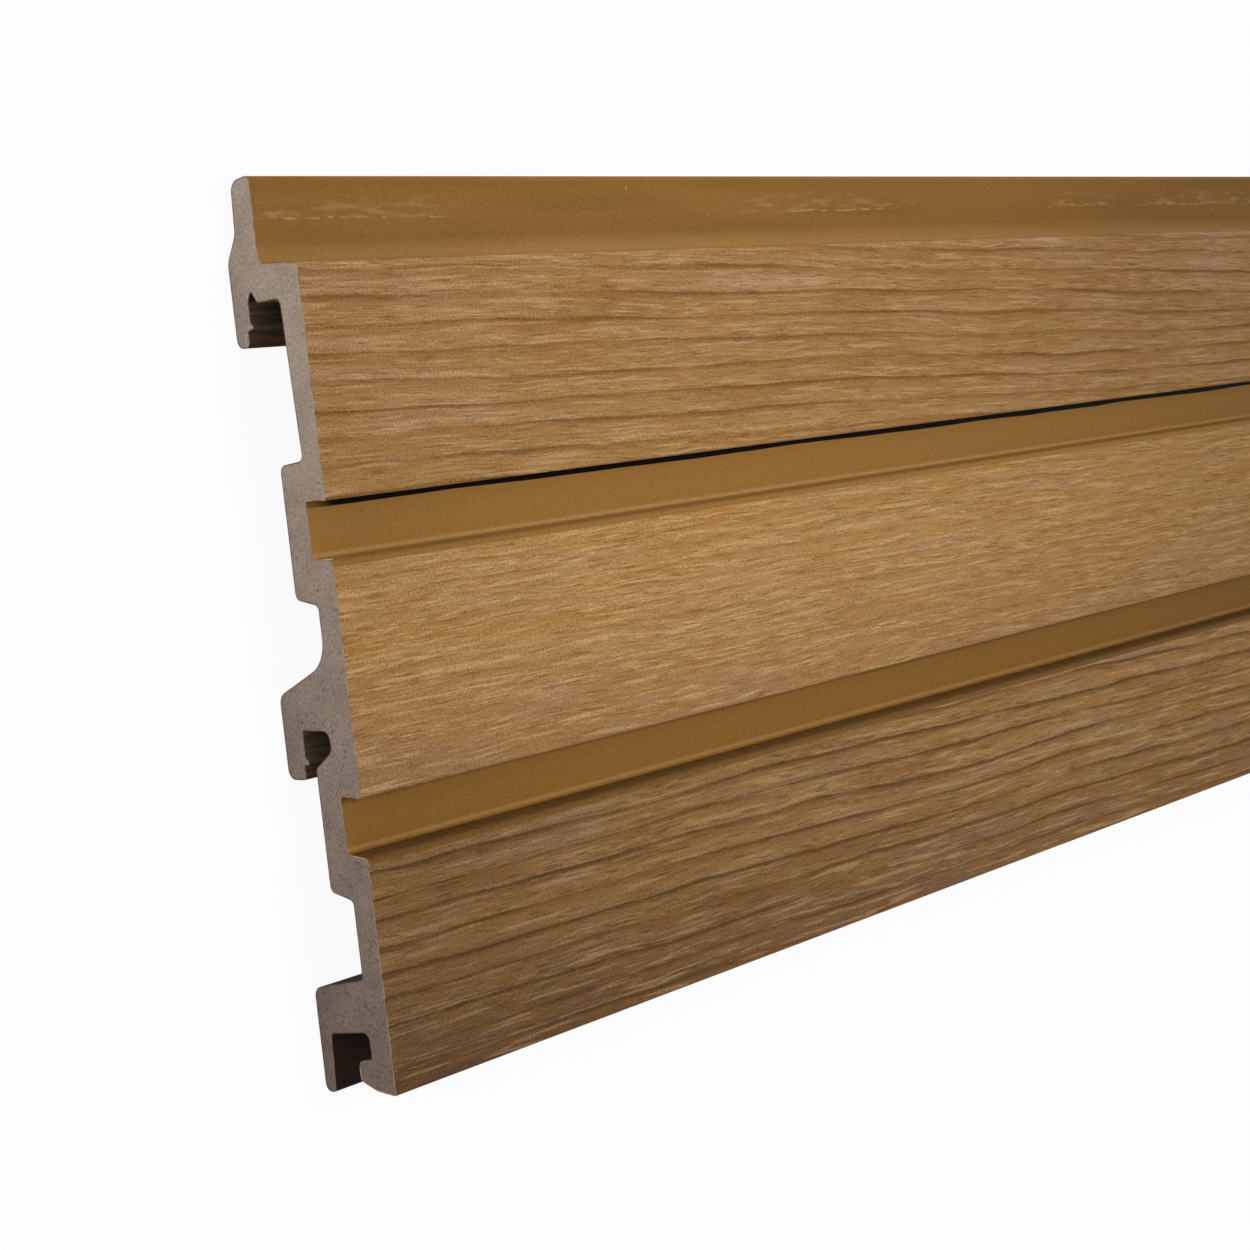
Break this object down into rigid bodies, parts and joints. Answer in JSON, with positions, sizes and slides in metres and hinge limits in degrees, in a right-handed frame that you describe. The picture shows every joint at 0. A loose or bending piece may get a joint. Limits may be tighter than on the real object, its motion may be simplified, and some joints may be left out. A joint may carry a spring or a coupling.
{
  "type": "composite cladding board",
  "caption": "Foamed composite cladding board with wood-grain faces between recessed strips, a fixing flange along one edge and a hooked slot along the other.",
  "frame": {"origin": "bottom centre of the board's box, on the plane that the backs of the legs rest on", "axes": "+X along the length, +Y across the width towards the fixing flange, +Z out of the wood-grain faces"},
  "size_m": [2.5, 0.2102, 0.026],
  "materials": {
    "capped_foam_board": "brown wood-grain embossed capping over grey-brown foam, cut ends bare"
  },
  "bodies": {
    "root": {"cladding_board": "capped_foam_board"}
  },
  "joints": []
}
